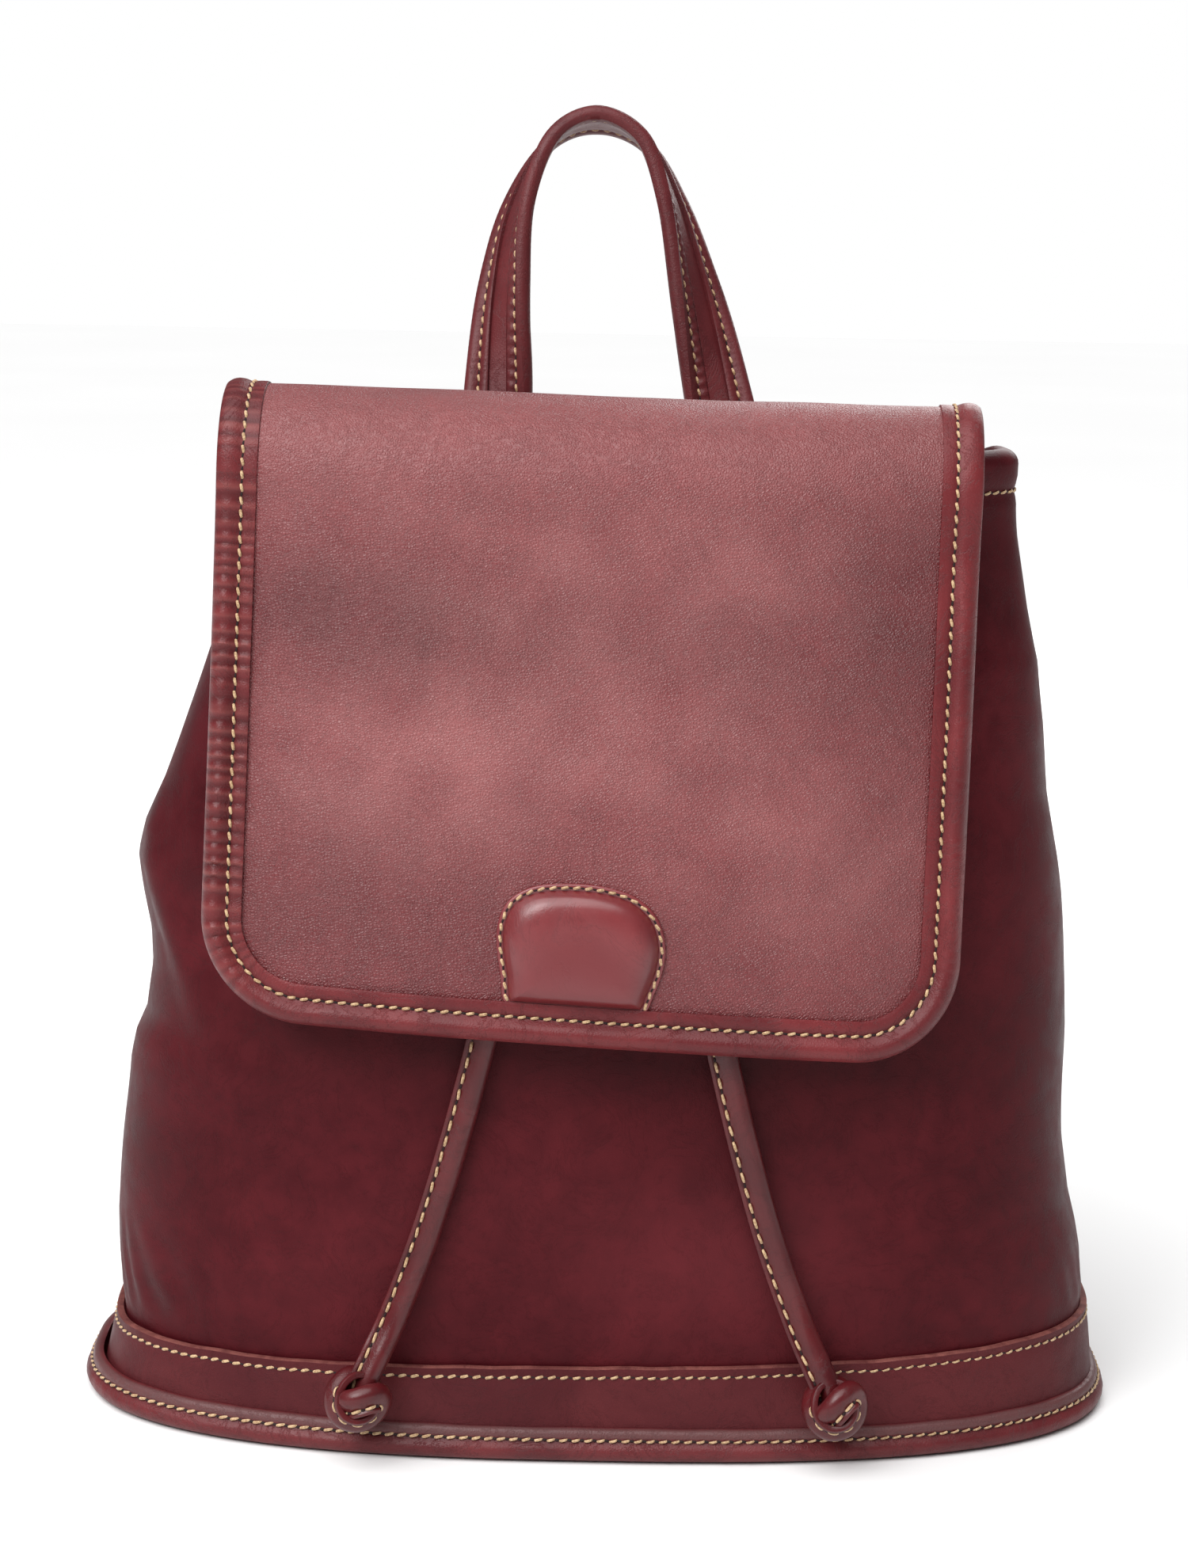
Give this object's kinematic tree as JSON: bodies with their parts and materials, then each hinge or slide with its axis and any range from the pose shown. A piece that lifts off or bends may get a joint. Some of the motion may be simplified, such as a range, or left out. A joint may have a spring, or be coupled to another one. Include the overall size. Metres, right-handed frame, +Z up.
{
  "type": "leather backpack",
  "caption": "Small drawstring backpack of smooth leather with a bound front flap, padded badge, top handle, knotted cords and buckled shoulder straps.",
  "frame": {"origin": "centre of the underside, on the surface that the bag stands on", "axes": "+Z up towards the top handle, -Y towards the front flap, +X to the right seen from the front"},
  "size_m": [0.3204, 0.2907, 0.395],
  "materials": {
    "body_leather": "smooth full-grain, soft sheen",
    "flap_leather": "fine pebbled grain, mottled patina",
    "badge_leather": "smooth, glossier than the flap",
    "binding_leather": "rolled, finely wrinkled, satin",
    "band_leather": "smooth with a raw cut upper edge",
    "base_leather": "scuffed grain",
    "strap_leather": "folded and stitched, satin",
    "cord_leather": "folded and stitched, glossy",
    "stiffener": "pressed fibre board",
    "padding": "foam",
    "metal": "polished, slightly tarnished"
  },
  "bodies": {
    "bag": {"base_panel": "base_leather", "base_board": "stiffener", "base_band": "band_leather", "base_binding": "binding_leather", "body_wrap": "body_leather", "back_panel": "body_leather", "drawstring_loop": "cord_leather", "flap_tail": "flap_leather", "back_yoke": "body_leather", "snap_socket": "metal"},
    "flap": {"flap_panel": "flap_leather", "flap_binding": "binding_leather", "flap_badge": "badge_leather", "badge_pad": "padding", "snap_stud": "metal"},
    "handle": {"handle_strap": "strap_leather"},
    "strap_left": {"shoulder_strap_left": "strap_leather", "lower_strap_left": "strap_leather", "strap_keeper_left": "strap_leather", "buckle_frame_left": "metal"},
    "strap_right": {"shoulder_strap_right": "strap_leather", "lower_strap_right": "strap_leather", "strap_keeper_right": "strap_leather", "buckle_frame_right": "metal"},
    "prong_left": {"buckle_prong_left": "metal"},
    "prong_right": {"buckle_prong_right": "metal"},
    "cord_left": {"drawstring_left": "cord_leather", "knot_left": "cord_leather"},
    "cord_right": {"drawstring_right": "cord_leather", "knot_right": "cord_leather"}
  },
  "joints": [
    {"name": "flap_hinge", "type": "hinge", "parent": "bag", "child": "flap", "pos_m": [0, 0.0655, 0.29], "axis": [-1, 0, 0], "range_deg": [0, 75]},
    {"name": "handle_swing", "type": "hinge", "parent": "bag", "child": "handle", "pos_m": [0, 0.0672, 0.28], "axis": [-1, 0, 0], "range_deg": [0, 70]},
    {"name": "strap_left_swing", "type": "hinge", "parent": "bag", "child": "strap_left", "pos_m": [-0.03, 0.0653, 0.233], "axis": [0.3176, 0.0023, 0.9482], "range_deg": [0, 18]},
    {"name": "strap_right_swing", "type": "hinge", "parent": "bag", "child": "strap_right", "pos_m": [0.03, 0.0653, 0.233], "axis": [0.3176, -0.0023, -0.9482], "range_deg": [0, 18]},
    {"name": "prong_left_lift", "type": "hinge", "parent": "strap_left", "child": "prong_left", "pos_m": [-0.08827, 0.18113, 0.05904], "axis": [0.9482, 0, -0.3176], "range_deg": [0, 8]},
    {"name": "prong_right_lift", "type": "hinge", "parent": "strap_right", "child": "prong_right", "pos_m": [0.08827, 0.18113, 0.05904], "axis": [0.9482, 0, 0.3176], "range_deg": [0, 8]},
    {"name": "cord_left_swing", "type": "hinge", "parent": "bag", "child": "cord_left", "pos_m": [-0.014, -0.0508, 0.288], "axis": [0, 1, 0], "range_deg": [-2, 4]},
    {"name": "cord_right_swing", "type": "hinge", "parent": "bag", "child": "cord_right", "pos_m": [0.014, -0.0508, 0.288], "axis": [0, -1, 0], "range_deg": [-2, 4]}
  ]
}
